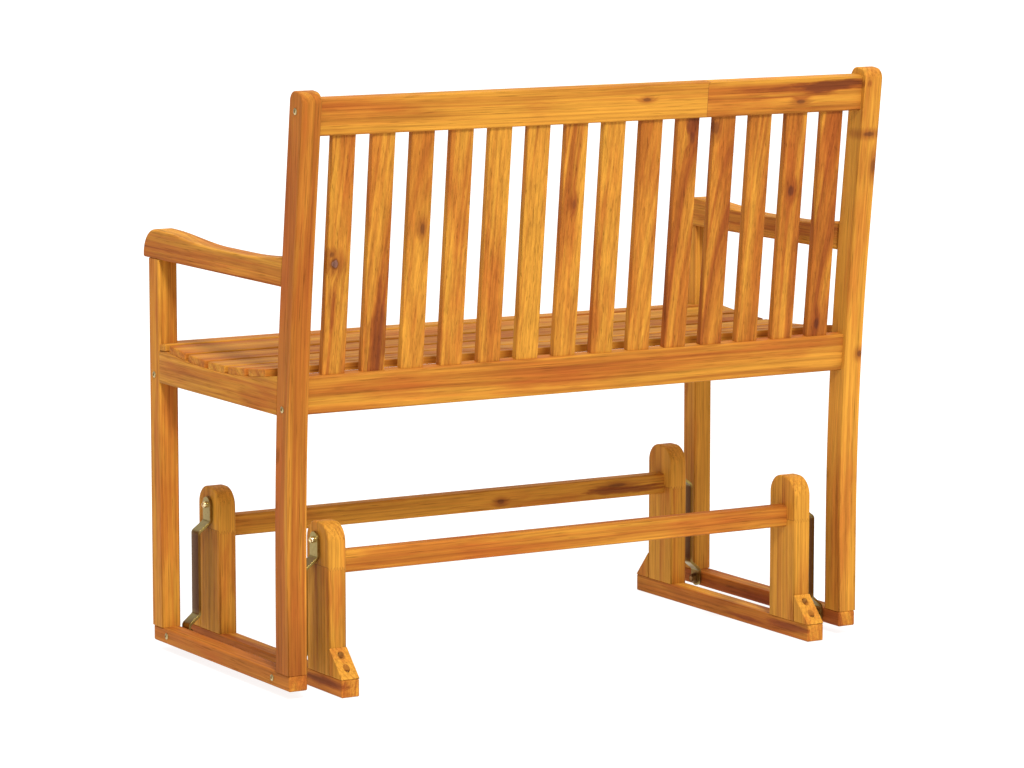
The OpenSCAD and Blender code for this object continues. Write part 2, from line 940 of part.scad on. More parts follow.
left_post();
right_post();
left_front_leg();
right_front_leg();
left_arm();
right_arm();
left_bottom_rail();
right_bottom_rail();
left_seat_rail();
right_seat_rail();
top_rail();
lower_back_rail();
front_apron();
seat_bearer();
back_slat(1);  // back_slat_1
back_slat(2);  // back_slat_2
back_slat(3);  // back_slat_3
back_slat(4);  // back_slat_4
back_slat(5);  // back_slat_5
back_slat(6);  // back_slat_6
back_slat(7);  // back_slat_7
back_slat(8);  // back_slat_8
back_slat(9);  // back_slat_9
back_slat(10);  // back_slat_10
back_slat(11);  // back_slat_11
back_slat(12);  // back_slat_12
back_slat(13);  // back_slat_13
back_slat(14);  // back_slat_14
seat_slat(1);  // seat_slat_1
seat_slat(2);  // seat_slat_2
seat_slat(3);  // seat_slat_3
seat_slat(4);  // seat_slat_4
seat_slat(5);  // seat_slat_5
seat_slat(6);  // seat_slat_6
seat_pegs();
frame_bolts();
barrel_nuts();
frame_dowels();
lower_pivot_bolts();
lower_pivot_nuts();
foot();  // left_foot
right_side() foot();  // right_foot
upright(false);  // left_front_upright
upright(true);  // left_rear_upright
right_side() upright(false);  // right_front_upright
right_side() upright(true);  // right_rear_upright
stretcher(front_y);  // front_stretcher
stretcher(rear_y);  // rear_stretcher
gusset(false);  // left_front_gusset
gusset(true);  // left_rear_gusset
right_side() gusset(false);  // right_front_gusset
right_side() gusset(true);  // right_rear_gusset
base_screws();
base_dowels();
upper_pivot_bolts();
upper_pivot_washers();
link(front_pivot);  // left_front_link
link(rear_pivot);  // left_rear_link
right_side() link(front_pivot);  // right_front_link
right_side() link(rear_pivot);  // right_rear_link
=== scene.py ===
import math
import random
import bmesh
import bpy
from mathutils import Matrix, Vector


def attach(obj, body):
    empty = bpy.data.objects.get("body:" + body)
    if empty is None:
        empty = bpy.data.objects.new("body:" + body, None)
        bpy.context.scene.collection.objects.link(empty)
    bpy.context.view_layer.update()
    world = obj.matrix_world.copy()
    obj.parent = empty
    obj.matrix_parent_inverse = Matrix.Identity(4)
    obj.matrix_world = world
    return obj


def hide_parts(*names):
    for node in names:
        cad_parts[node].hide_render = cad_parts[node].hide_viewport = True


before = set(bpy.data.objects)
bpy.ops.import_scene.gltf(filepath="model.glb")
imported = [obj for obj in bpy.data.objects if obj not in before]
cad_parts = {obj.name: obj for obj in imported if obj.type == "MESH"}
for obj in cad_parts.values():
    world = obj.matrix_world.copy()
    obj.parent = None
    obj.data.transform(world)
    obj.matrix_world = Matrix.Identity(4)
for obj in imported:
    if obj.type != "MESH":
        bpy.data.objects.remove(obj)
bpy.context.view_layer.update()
print("frame loaded:", len(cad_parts), "solids")

mm = 0.001  # the pieces' sizes are in millimetres, and Blender works in metres
scene = bpy.context.scene
scene.view_settings.view_transform = "Standard"
chance = random.Random(11)


# in a node's inputs a socket is linked, and any other value is set
def addNode(tree, kind, settings=None, inputs=None):
    made = tree.nodes.new(kind)
    for key, value in (settings or {}).items():
        setattr(made, key, value)
    for key, value in (inputs or {}).items():
        if isinstance(value, bpy.types.NodeSocket):
            tree.links.new(value, made.inputs[key])
        else:
            made.inputs[key].default_value = value
    return made


def maths(tree, operation, a, b=0.0, c=0.0):
    return addNode(tree, "ShaderNodeMath", {"operation": operation}, {0: a, 1: b, 2: c}).outputs[0]


def minus(tree, a, b):
    return maths(tree, "SUBTRACT", a, b)


def times(tree, a, b, more=0.0):
    # a times b, plus more
    return maths(tree, "MULTIPLY_ADD", a, b, more)


def highest(tree, a, b):
    return maths(tree, "MAXIMUM", a, b)


def vectorMaths(tree, operation, a, b=(0.0, 0.0, 0.0)):
    made = addNode(tree, "ShaderNodeVectorMath", {"operation": operation}, {0: a, 1: b})
    return made.outputs["Value" if operation == "LENGTH" else "Vector"]


def stretched(tree, vector, scale):
    return vectorMaths(tree, "MULTIPLY", vector, scale)


def apart(tree, vector):
    return addNode(tree, "ShaderNodeSeparateXYZ", None, {0: vector}).outputs


def together(tree, x=0.0, y=0.0, z=0.0):
    return addNode(tree, "ShaderNodeCombineXYZ", None, {0: x, 1: y, 2: z}).outputs[0]


def fade(tree, value, start, end, low=0.0, high=1.0):
    inputs = {0: value, 1: start, 2: end, 3: low, 4: high}
    return addNode(tree, "ShaderNodeMapRange", {"interpolation_type": "SMOOTHSTEP"}, inputs).outputs[0]


def mixColour(tree, share, first, second):
    settings = {"data_type": "RGBA", "blend_type": "MIX", "clamp_factor": True}
    return addNode(tree, "ShaderNodeMix", settings, {0: share, 6: first, 7: second}).outputs[2]


def noise(tree, vector, scale, detail, roughness):
    inputs = {"Vector": vector, "Scale": scale, "Detail": detail, "Roughness": roughness}
    return addNode(tree, "ShaderNodeTexNoise", None, inputs).outputs


def objectPlace(tree):
    return addNode(tree, "ShaderNodeTexCoord").outputs["Object"]


def newMaterial(name):
    material = bpy.data.materials.new(name)
    material.use_nodes = True
    tree = material.node_tree
    tree.nodes.clear()
    shader = addNode(tree, "ShaderNodeBsdfPrincipled")
    addNode(tree, "ShaderNodeOutputMaterial", None, {"Surface": shader.outputs[0]})
    return material, tree, shader


# oiled acacia
acacia = {
    "colours": {
        "pale": (0.54, 0.238, 0.029, 1),
        "amber": (0.37, 0.117, 0.016, 1),
        "rust": (0.21, 0.044, 0.010, 1),
        "blush": (0.36, 0.082, 0.014, 1),
        "dark": (0.10, 0.022, 0.011, 1),
        "knot": (0.07, 0.018, 0.011, 1),
        "knotHeart": (0.24, 0.12, 0.09, 1),
    },
    "gloss": 0.46,
    "shine": 0.05,
    "bump": {"Strength": 0.35, "Distance": 0.4 * mm},
    # repeats per metre along, across and through the board, detail, roughness
    "patterns": {
        "sway": ((1.9, 9.0, 9.0), 2.0, 0.5),
        "band": ((0.8, 62.0, 1.0), 4.0, 0.62),
        "flush": ((1.8, 26.0, 26.0), 3.0, 0.5),
        "fibre": ((1.7, 220.0, 220.0), 4.0, 0.7),
        "pore": ((20.0, 620.0, 620.0), 1.0, 0.5),
        "grit": ((10.0, 560.0, 560.0), 2.0, 0.7),
        "mottle": ((9.0, 38.0, 38.0), 3.0, 0.6),
        "blush": ((3.4, 17.0, -17.0), 4.0, 0.6),
        "ragged": ((16.0, 95.0, 95.0), 4.0, 0.6),
    },
    # where a pattern sets in and where it is full, then its strength at both
    "fades": {
        "pore": (0.6, 0.72, 0.0, 1.0),
        "blush": (0.47, 0.68, 0.0, 0.6),
        "heart": (0.66, 0.9, 0.0, 1.0),
        "deep": (0.8, 1.05, 0.0, 1.0),
        "redder": (1.0, 2.3, 0.0, 0.62),
        "knotHeart": (0.85, 1.0, 0.0, 0.6),
        "seam": (0.2 * mm, 0.9 * mm, 1.0, 0.0),
        "glue": (0.1 * mm, 0.6 * mm, 1.0, 0.0),
        "halo": (0.7, 2.8, 1.0, 0.0),
    },
    "rings": {"gap": 7.0 * mm, "crispness": 4.0, "pithAside": 45.0 * mm, "pithUnder": 30.0 * mm,
              "swayAside": 18.0 * mm, "swayUnder": 13.0 * mm, "swirl": 2.4},
    # past a finger joint or a glue line the figure is read at another place
    "joints": {"fingerPitch": 2.4 * mm, "fingerSlope": 2.4, "pastFingers": 0.73, "pastGlue": 1.37,
               "otherPlace": (5.1, 0.017, -0.011), "toneFingers": 0.18, "toneGlue": -0.13},
    "warmth": {"base": 0.9, "tone": -1.1, "band": 4.2, "flush": 2.5},
    "streaks": {"heart": 0.3, "deep": 0.26},
    "shares": {"ring": 0.42, "heart": 0.72, "deep": 0.6, "halo": 0.6, "knot": 0.85, "joint": 0.4},
    "shade": {"base": 1.85, "fibre": -1.15, "grit": -0.5, "pore": -0.3, "mottle": 0.4},
    "rough": {"fibre": 0.16, "pore": 0.15},
    "height": {"fibre": 0.5, "pore": -0.7, "joint": -0.8, "knot": 0.5},
    # the outline of a knot, a stain or a patch of painted shade wanders, and rings bulge round a knot
    "spots": {"knotWander": 0.9, "knotCore": (0.45, 1.0), "bulge": 6.0 * mm,
              "patchWander": 1.4, "patchEdge": (0.2, 1.0)},
}


def pattern(tree, place, name):
    scale, detail, roughness = acacia["patterns"][name]
    return noise(tree, stretched(tree, place, scale), 1.0, detail, roughness)


def centred(tree, value):
    return minus(tree, value, 0.5)


def acaciaGroup(look):
    colours, fades, rings, joints = look["colours"], look["fades"], look["rings"], look["joints"]
    tree = bpy.data.node_groups.new("acaciaGrain", "ShaderNodeTree")
    for name in ("Grain", "Seed", "Joint"):
        tree.interface.new_socket(name, in_out="INPUT", socket_type="NodeSocketVector")
    for name in ("Tone", "Streak", "Bulge", "Knot", "Halo"):
        tree.interface.new_socket(name, in_out="INPUT", socket_type="NodeSocketFloat")
    for name, kind in (("Color", "Color"), ("Roughness", "Float"), ("Height", "Float")):
        tree.interface.new_socket(name, in_out="OUTPUT", socket_type="NodeSocket" + kind)
    given = addNode(tree, "NodeGroupInput").outputs
    plain, joint = apart(tree, given["Grain"]), apart(tree, given["Joint"])

    # finger joint across the board and glue line along it
    teeth = times(tree, maths(tree, "PINGPONG", plain[2], joints["fingerPitch"]), joints["fingerSlope"])
    past = minus(tree, minus(tree, plain[0], joint[0]), teeth)
    aside = minus(tree, plain[1], joint[1])
    pastFingers, pastGlue = (maths(tree, "GREATER_THAN", way, 0.0) for way in (past, aside))
    seam = fade(tree, maths(tree, "ABSOLUTE", past), *fades["seam"])
    glue = fade(tree, maths(tree, "ABSOLUTE", aside), *fades["glue"])
    anyJoint = highest(tree, seam, glue)
    block = times(tree, pastFingers, joints["pastFingers"], times(tree, pastGlue, joints["pastGlue"]))
    blockShift = together(tree, *[times(tree, block, step) for step in joints["otherPlace"]])
    grain = vectorMaths(tree, "ADD", vectorMaths(tree, "ADD", given["Grain"], given["Seed"]), blockShift)
    part = apart(tree, grain)

    # rings about a wandering pith that lies outside the board
    sway = apart(tree, pattern(tree, grain, "sway")["Color"])
    across = maths(tree, "ADD", times(tree, sway[0], rings["swayAside"], part[1]), given["Bulge"])
    through = times(tree, sway[1], rings["swayUnder"], part[2])
    across = maths(tree, "ADD", across, rings["pithAside"])
    through = maths(tree, "ADD", through, rings["pithUnder"])
    radius = vectorMaths(tree, "LENGTH", together(tree, 0.0, across, through))
    turns = times(tree, radius, 1 / rings["gap"], times(tree, sway[2], rings["swirl"]))
    wave = times(tree, maths(tree, "SINE", times(tree, turns, 2 * math.pi)), 0.5, 0.5)
    ring = maths(tree, "POWER", wave, rings["crispness"])

    # broad heartwood bands, fibres, open pores and soft mottling
    band = pattern(tree, together(tree, part[0], radius, part[2]), "band")[0]
    flush, fibre = (pattern(tree, grain, name)[0] for name in ("flush", "fibre"))
    grit, mottle = (pattern(tree, grain, name)[0] for name in ("grit", "mottle"))
    pore = fade(tree, pattern(tree, grain, "pore")[0], *fades["pore"])
    blush = fade(tree, pattern(tree, grain, "blush")[0], *fades["blush"])
    heart = fade(tree, times(tree, given["Streak"], look["streaks"]["heart"], band), *fades["heart"])
    deep = fade(tree, times(tree, given["Streak"], look["streaks"]["deep"], band), *fades["deep"])

    # a board of a low tone is warmer, and so is wood in a band
    warm, shares = look["warmth"], look["shares"]
    tone = times(tree, pastGlue, joints["toneGlue"], given["Tone"])
    tone = times(tree, pastFingers, joints["toneFingers"], tone)
    warmth = times(tree, tone, warm["tone"], warm["base"])
    warmth = times(tree, centred(tree, band), warm["band"], warmth)
    warmth = times(tree, centred(tree, flush), warm["flush"], warmth)
    colour = mixColour(tree, warmth, colours["pale"], colours["amber"])
    for share, over in (
        (blush, "blush"),
        (fade(tree, warmth, *fades["redder"]), "rust"),
        (times(tree, ring, times(tree, flush, shares["ring"])), "rust"),
        (times(tree, heart, shares["heart"]), "rust"),
        (times(tree, deep, shares["deep"]), "dark"),
        (times(tree, given["Halo"], shares["halo"]), "rust"),
        (times(tree, given["Knot"], shares["knot"]), "knot"),
        (fade(tree, given["Knot"], *fades["knotHeart"]), "knotHeart"),
        (times(tree, anyJoint, shares["joint"]), "dark"),
    ):
        colour = mixColour(tree, share, colour, colours[over])

    # light and dark from the fine figure, then gloss and height
    shade = look["shade"]["base"]
    for value, name in ((fibre, "fibre"), (grit, "grit"), (pore, "pore"), (centred(tree, mottle), "mottle")):
        shade = times(tree, value, look["shade"][name], shade)
    shaded = vectorMaths(tree, "SCALE", colour)
    tree.links.new(shade, shaded.node.inputs["Scale"])
    rough = look["gloss"]
    for value, name in ((fibre, "fibre"), (pore, "pore")):
        rough = times(tree, value, look["rough"][name], rough)
    height = 0.0
    for value, name in ((fibre, "fibre"), (pore, "pore"), (anyJoint, "joint"), (given["Knot"], "knot")):
        height = times(tree, value, look["height"][name], height)
    addNode(tree, "NodeGroupOutput", None, {"Color": shaded, "Roughness": rough, "Height": height})
    return tree


acaciaTree = acaciaGroup(acacia)


def acaciaWood(name, knots=(), stainsAndShade=()):
    material, tree, shader = newMaterial(name)

    def read(attribute, output):
        return addNode(tree, "ShaderNodeAttribute", {"attribute_name": attribute}).outputs[output]

    place = objectPlace(tree)
    ragged = centred(tree, pattern(tree, read("grain", "Vector"), "ragged")[0])

    def distance(spot, wander):
        # 0 in the middle of a knot, a stain or a patch of painted shade, about 1 at its edge
        away = vectorMaths(tree, "SUBTRACT", place, [v * mm for v in spot["at"]])
        away = vectorMaths(tree, "LENGTH", stretched(tree, away, [1 / (v * mm) for v in spot["size"]]))
        return times(tree, ragged, wander, away)

    look = acacia["spots"]
    core, halo, streak = 0.0, 0.0, read("streak", "Fac")
    for knot in knots:
        away = distance(knot, look["knotWander"])
        core = highest(tree, core, fade(tree, away, *look["knotCore"], knot.get("depth", 1.0), 0.0))
        halo = highest(tree, halo, fade(tree, away, *acacia["fades"]["halo"]))
    for darkPatch in stainsAndShade:
        away = distance(darkPatch, look["patchWander"])
        streak = maths(tree, "ADD", streak, fade(tree, away, *look["patchEdge"], darkPatch["amount"], 0.0))
    bulge = times(tree, halo, look["bulge"]) if knots else 0.0
    wood = addNode(tree, "ShaderNodeGroup", {"node_tree": acaciaTree}, {
        "Grain": read("grain", "Vector"), "Seed": read("seed", "Vector"), "Joint": read("joint", "Vector"),
        "Tone": read("tone", "Fac"), "Streak": streak, "Bulge": bulge, "Knot": core, "Halo": halo})
    bump = addNode(tree, "ShaderNodeBump", None, {**acacia["bump"], "Height": wood.outputs["Height"]})
    tree.links.new(wood.outputs["Color"], shader.inputs["Base Color"])
    tree.links.new(wood.outputs["Roughness"], shader.inputs["Roughness"])
    tree.links.new(bump.outputs[0], shader.inputs["Normal"])
    shader.inputs["Specular IOR Level"].default_value = acacia["shine"]
    return material


# each knot, stain and patch of painted shade by its middle and its half size along x, y and z
slatWood = acaciaWood("slatAcacia", knots=[
    {"at": (440, 234, 654), "size": (10, 30, 11)},
    {"at": (445, 234, 668), "size": (6, 30, 6), "depth": 0.6},
    {"at": (294, 239, 699), "size": (5, 30, 11), "depth": 0.6},
    {"at": (-217, 253, 829), "size": (7, 30, 12), "depth": 0.6},
    {"at": (-174, 251, 815), "size": (6, 30, 11), "depth": 0.5},
    {"at": (32, 241, 722), "size": (4, 30, 10), "depth": 0.5},
    {"at": (-364, 241, 723), "size": (7, 30, 11), "depth": 0.8},
    {"at": (-430, 217, 507), "size": (6, 30, 13), "depth": 0.8},
], stainsAndShade=[
    {"at": (361, 224, 525), "size": (34, 40, 130), "amount": 1.0},
    {"at": (-172, 254, 838), "size": (14, 30, 26), "amount": 2.2},
    {"at": (441, 234, 600), "size": (10, 40, 70), "amount": 0.9},
])
frameWood = acaciaWood("frameAcacia", knots=[
    {"at": (-84, 264, 878), "size": (9, 30, 3.5), "depth": 0.7},
    {"at": (-367, 262, 864), "size": (11, 30, 4.5), "depth": 0.7},
    {"at": (-494, 265, 808), "size": (13, 30, 5), "depth": 0.7},
    {"at": (-507, 258, 757), "size": (5, 30, 16), "depth": 0.6},
    {"at": (-507, 227, 455), "size": (6, 30, 7), "depth": 0.8},
], stainsAndShade=[
    {"at": (-425, 265, 888), "size": (95, 40, 15), "amount": 1.5},
    {"at": (-350, 265, 874), "size": (150, 40, 30), "amount": 0.7},
])
baseWood = acaciaWood("baseAcacia", knots=[
    {"at": (-316, -190, 199), "size": (22, 30, 4), "depth": 0.7},
    {"at": (-90, -190, 190), "size": (8, 30, 5), "depth": 0.6},
], stainsAndShade=[
    {"at": (-330, -190, 190), "size": (120, 40, 10), "amount": 1.6},
    # these three darken the feet low down on their faces towards +x, near the floor and the links: painted
    # shade
    {"at": (434, 188, 17), "size": (20, 115, 9), "amount": 1.1},
    {"at": (-404, 190, 16), "size": (20, 95, 9), "amount": 1.0},
    {"at": (-404, 60, 9), "size": (20, 80, 5), "amount": 0.8},
])
print("acacia ready")

# in each board's dictionary edge is how far its edges are rounded, a low tone is warmer wood,
# streak is how much dark heartwood it has, and seed is its own place in the figure
sharpAngle = math.radians(35)  # edges sharper than this are rounded
flatAngle = math.radians(0.5)  # faces that meet flatter than this become one
weld = 1e-6  # points closer than this become one, in metres
touch = 0.1  # what is closer than this to another board touches it
noJoint = (99, 99, 0)  # where a finger joint and a glue line run, in metres: far off, so there is none


def applied(piece):
    graph = bpy.context.evaluated_depsgraph_get()
    shape = piece.evaluated_get(graph)
    mesh = bpy.data.meshes.new_from_object(shape, preserve_all_data_layers=True, depsgraph=graph)
    piece.modifiers.clear()
    piece.data = mesh
    return piece


def meshOf(name, bm):
    mesh = bpy.data.meshes.new(name)
    bm.to_mesh(mesh)
    bm.free()
    return mesh


def newPiece(name, mesh, *finishes):
    piece = bpy.data.objects.new(name, mesh)
    scene.collection.objects.link(piece)
    for material in finishes:
        mesh.materials.append(material)
    return piece


def evenNormals(piece):
    piece.data.shade_smooth()
    piece.modifiers.new("evenNormals", "WEIGHTED_NORMAL").keep_sharp = False
    return applied(piece)


def anySeed():
    # a place of its own in the figure for each board
    return chance.uniform(-20, 20), chance.uniform(-0.03, 0.03), chance.uniform(-0.02, 0.02)


def markGrain(mesh, axes, lean=None):
    # the grain runs along the first of the three axes
    order = ["xyz".index(a) for a in axes]
    grain = mesh.attributes.new("grain", "FLOAT_VECTOR", "POINT")
    for corner, value in zip(mesh.vertices, grain.data):
        at = corner.co.copy()
        if lean:
            at.y -= lean(at.z)
        value.vector = [at[i] for i in order]


def markWood(mesh, look, axes, lean=None):
    markGrain(mesh, axes, lean)
    for name, value in (("seed", look.get("seed") or anySeed()), ("joint", look.get("joint", noJoint))):
        layer = mesh.attributes.new(name, "FLOAT_VECTOR", "POINT")
        layer.data.foreach_set("vector", list(value) * len(mesh.vertices))
    for name in ("tone", "streak"):
        layer = mesh.attributes.new(name, "FLOAT", "POINT")
        layer.data.foreach_set("value", [look[name]] * len(mesh.vertices))


def rectangle(left, right, low, high):
    return [(left, low), (right, low), (right, high), (left, high)]


def prism(outline, low, high, axis="x"):
    # an outline in the two other axes, in order, drawn out along the given axis
    bm = bmesh.new()
    put = {"x": lambda p, w: (w, p[0], p[1]), "z": lambda p, w: (p[0], p[1], w)}[axis]
    ends = [[bm.verts.new([v * mm for v in put(p, w)]) for p in outline] for w in (low, high)]
    bm.faces.new(ends[0])
    bm.faces.new(ends[1])
    for i in range(len(outline)):
        j = (i + 1) % len(outline)
        bm.faces.new((ends[0][i], ends[0][j], ends[1][j], ends[1][i]))
    bmesh.ops.remove_doubles(bm, verts=bm.verts, dist=weld)
    bmesh.ops.recalc_face_normals(bm, faces=bm.faces)
    return bm


def bevelled(bm, edges, size, segments=3):
    bmesh.ops.bevel(bm, geom=edges, offset=size * mm, segments=segments, profile=0.5, affect="EDGES",
                    clamp_overlap=True)


def roundEdges(bm, size, square=None):
    # square says where edges stay sharp, because they butt against another board
    def staysSharp(e):
        a, b = (v.co / mm for v in e.verts)
        return square is not None and all(square(p) for p in (a, b, (a + b) / 2))

    bevelled(bm, [e for e in bm.edges if e.calc_face_angle(0) > sharpAngle and not staysSharp(e)], size)


def board(name, node, bm, sizes, axes, material, body="bench", square=None, place=None, lean=None):
    roundEdges(bm, sizes["edge"], square)
    mesh = meshOf(name, bm)
    markWood(mesh, sizes, axes, lean)
    if place:
        mesh.transform(place)
    piece = evenNormals(newPiece(name, mesh, material))
    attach(piece, body)
    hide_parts(node)
    return piece


def arcPoints(centre, radius, start, end, steps=12):
    turns = [math.radians(start + (end - start) * i / steps) for i in range(steps + 1)]
    return [(centre[0] + radius * math.cos(t), centre[1] + radius * math.sin(t)) for t in turns]


# side frames, with x given for the left one
sides = {"left": 1, "right": -1}
sideFrame = {
    "out": 512.5, "inside": 480.0,
    "legFront": -249.17, "legBack": -213.67,
    "postY": 195.83, "postHalf": 21.0, "postTop": 913.0, "topRound": 16.0,
    "bendZ": 178.0, "bendRadius": 3920.0, "rake": math.radians(6.87),
    "railZ": 37.5, "armZ": 620.0,  # top of the bottom rails, underside of the arms
}
bendRise = sideFrame["bendRadius"] * math.sin(sideFrame["rake"])
bendRun = sideFrame["bendRadius"] * (1 - math.cos(sideFrame["rake"]))
postY = sideFrame["postY"]


def lineY(z):
    # middle line of the posts, seen from the side
    up = z - sideFrame["bendZ"]
    if up <= 0:
        return postY
    if up <= bendRise:
        return postY + sideFrame["bendRadius"] - math.sqrt(sideFrame["bendRadius"] ** 2 - up ** 2)
    return postY + bendRun + (up - bendRise) * math.tan(sideFrame["rake"])


def postFront(z):
    return lineY(z) - sideFrame["postHalf"]


def acrossX(side, low, high):
    return sorted((sides[side] * low, sides[side] * high))


def onRail(v):
    return v.z < sideFrame["railZ"] + touch


def atPost(v):
    return abs(v.y - postFront(v.z)) < 3 * touch


posts = {
    "left": {"edge": 2.4, "tone": 0.28, "streak": 0.15, "seed": (3.2, 0.012, 0.004)},
    "right": {"edge": 2.4, "tone": 0.95, "streak": 0.05, "seed": (-7.1, -0.02, 0.01)},
}
grainLine = 200.0  # the grain follows the bend, as if the post's middle line stood at this y


def postOutline():
    half, r, rake = sideFrame["postHalf"], sideFrame["topRound"], sideFrame["rake"]
    topZ = sideFrame["postTop"] - r * (1 - math.cos(rake)) - (half - r) * math.sin(rake)
    top = Vector((lineY(topZ), topZ)) - r * Vector((math.sin(rake), math.cos(rake)))
    acrossTop = (half - r) * Vector((math.cos(rake), -math.sin(rake)))
    centre = (postY + sideFrame["bendRadius"], sideFrame["bendZ"])
    lean = math.degrees(rake)
    points = [(postY - half, sideFrame["railZ"])]
    points += arcPoints(centre, sideFrame["bendRadius"] + half, 180, 180 - lean)
    points += arcPoints(top - acrossTop, r, 180 - lean, 90 - lean)
    points += arcPoints(top + acrossTop, r, 90 - lean, -lean)
    points += arcPoints(centre, sideFrame["bendRadius"] - half, 180 - lean, 180)
    return points + [(postY + half, sideFrame["railZ"])]


for side, sizes in posts.items():
    low, high = acrossX(side, sideFrame["inside"], sideFrame["out"])
    board(side + "Post", side + "_post", prism(postOutline(), low, high), sizes, "zyx", frameWood,
          square=onRail, lean=lambda z: (lineY(z / mm) - grainLine) * mm)

legs = {
    "left": {"edge": 2.6, "tone": 0.5, "streak": 0.1},
    "right": {"edge": 2.6, "tone": 0.85, "streak": 0.0},
}
for side, sizes in legs.items():
    low, high = acrossX(side, sideFrame["inside"], sideFrame["out"])
    outline = rectangle(sideFrame["legFront"], sideFrame["legBack"], sideFrame["railZ"], sideFrame["armZ"])
    board(side + "FrontLeg", side + "_front_leg", prism(outline, low, high), sizes, "zyx", frameWood,
          square=lambda v: onRail(v) or v.z > sideFrame["armZ"] - touch)

arms = {
    "left": {"edge": 3.6, "tone": 0.2, "streak": 0.5},
    "right": {"edge": 3.6, "tone": 0.35, "streak": 0.35},
}
armShape = {
    "width": 34.5, "front": -268.67, "noseRadius": 42.0, "noseSteps": 20,
    "noseHeight": 46.75, "dipHeight": 36.0, "backHeight": 46.0,
    "fall": 198.0, "rise": 158.0, "steps": 16,
}


def armOutline():
    s, z = armShape, sideFrame["armZ"]
    crest = s["front"] + s["noseRadius"]
    intoPost = sideFrame["postHalf"] / 2
    end = lineY(z) - intoPost
    drop, lift = s["noseHeight"] - s["dipHeight"], s["backHeight"] - s["dipHeight"]
    noseCentre = (crest, z + s["noseHeight"] - s["noseRadius"])
    points = [(s["front"], z)] + arcPoints(noseCentre, s["noseRadius"], 180, 90, s["noseSteps"])
    for i in range(1, s["steps"] + 1):
        t = i / s["steps"]
        points.append((crest + s["fall"] * t, z + s["dipHeight"] + drop * (1 + math.cos(math.pi * t)) / 2))
    for i in range(s["steps"] + 1):
        t = i / s["steps"]
        points.append((end - s["rise"] * (1 - t), z + s["dipHeight"] + lift * t * t))
    cutOff = [p for p in points if p[0] < postFront(p[1])]  # the back end follows the front of the post
    topZ = z + s["dipHeight"] + lift * (1 - intoPost / s["rise"]) ** 2
    return cutOff + [(postFront(topZ), topZ), (postFront(z), z)]


for side, sizes in arms.items():
    low, high = acrossX(side, sideFrame["out"] - armShape["width"], sideFrame["out"])
    board(side + "Arm", side + "_arm", prism(armOutline(), low, high), sizes, "yzx", frameWood, square=atPost)

bottomRails = {
    "left": {"edge": 3.0, "tone": 0.1, "streak": 0.45},
    "right": {"edge": 3.0, "tone": -0.1, "streak": 0.6},
}
bottomRailShape = {"setBack": 1.5, "underZ": 13.0}
for side, sizes in bottomRails.items():
    low, high = acrossX(side, sideFrame["inside"], sideFrame["out"] - bottomRailShape["setBack"])
    outline = rectangle(sideFrame["legFront"] + bottomRailShape["setBack"], postY + sideFrame["postHalf"],
                        bottomRailShape["underZ"], sideFrame["railZ"])
    board(side + "BottomRail", side + "_bottom_rail", prism(outline, low, high), sizes, "yzx", frameWood)

# the seat's top line is hollow, and each slat lies on a straight piece of it
seat = {
    "front": -249.27, "lowBehind": 222.0, "lowZ": 468.5, "radius": 1300.0, "frontDrop": 14.0,
    "count": 6, "width": 57.0, "thick": 11.5, "gap": 11.0, "half": 511.5, "lift": 0.05, "notchRoom": 0.4,
}


def seatPoint(y, first=False):
    curve = (y - seat["front"] - seat["lowBehind"]) ** 2 / (2 * seat["radius"])
    return (y, seat["lowZ"] + curve - (seat["frontDrop"] if first else 0))


pitch = seat["width"] + seat["gap"]
seatLine = [seatPoint(seat["front"] - seat["gap"] / 2 + i * pitch, i == 0) for i in range(seat["count"] + 1)]
seatLine.append(seatPoint(postY + sideFrame["postHalf"]))


def seatHeight(y):
    for a, b in zip(seatLine, seatLine[1:]):
        if y <= b[0]:
            return a[1] + (b[1] - a[1]) * (y - a[0]) / (b[0] - a[0])


def seatTop(start, end):
    # the seat's line from one end of a board to the other
    between = [p for p in seatLine if start < p[0] < end]
    return [(start, seatHeight(start))] + between + [(end, seatHeight(end))]


seatRails = {
    "left": {"edge": 2.5, "topEdge": 0.9, "tone": 0.3, "streak": 0.4},
    "right": {"edge": 2.5, "topEdge": 0.9, "tone": 0.3, "streak": 0.4},
}
seatRailShape = {"underZ": 426.5, "middleZ": 450.0, "backTopZ": 490.0}


def atRailEnds(v):
    return v.y < sideFrame["legBack"] + touch or atPost(v)


for side, sizes in seatRails.items():
    low, high = acrossX(side, sideFrame["inside"], sideFrame["out"])
    start, underZ, middleZ = sideFrame["legBack"], seatRailShape["underZ"], seatRailShape["middleZ"]
    topLine = seatTop(start, postFront(seatRailShape["backTopZ"]))
    outline = [(start, underZ)] + topLine + [(postFront(underZ), underZ)]
    bm = prism(outline, low, high)
    roundEdges(bm, sizes["topEdge"], lambda v: v.z < middleZ or atRailEnds(v))
    board(side + "SeatRail", side + "_seat_rail", bm, sizes, "yzx", frameWood,
          square=lambda v: v.z > middleZ or atRailEnds(v))
print("side frames built")

# back panel, leaning with the posts
panel = {
    "lowZ": 458.75, "topZ": 874.25, "railThick": 24.0, "lowHeight": 58.5, "topHeight": 55.5,
    "slats": 14, "slatWidth": 38.5, "slatThick": 13.0, "tenon": 10.0,
}
panelLow = Vector((0, lineY(panel["lowZ"]), panel["lowZ"]))
panelTop = Vector((0, lineY(panel["topZ"]), panel["topZ"]))
panelRise = (panelTop - panelLow).length
panelTurn = Matrix.Rotation(-math.atan2(panelTop.y - panelLow.y, panelTop.z - panelLow.z), 4, "X")


def onPanel(along):
    return Matrix.Translation(panelLow.lerp(panelTop, along / panelRise) * mm) @ panelTurn


def atSideFrame(v):
    return abs(v.x) > sideFrame["inside"] - touch


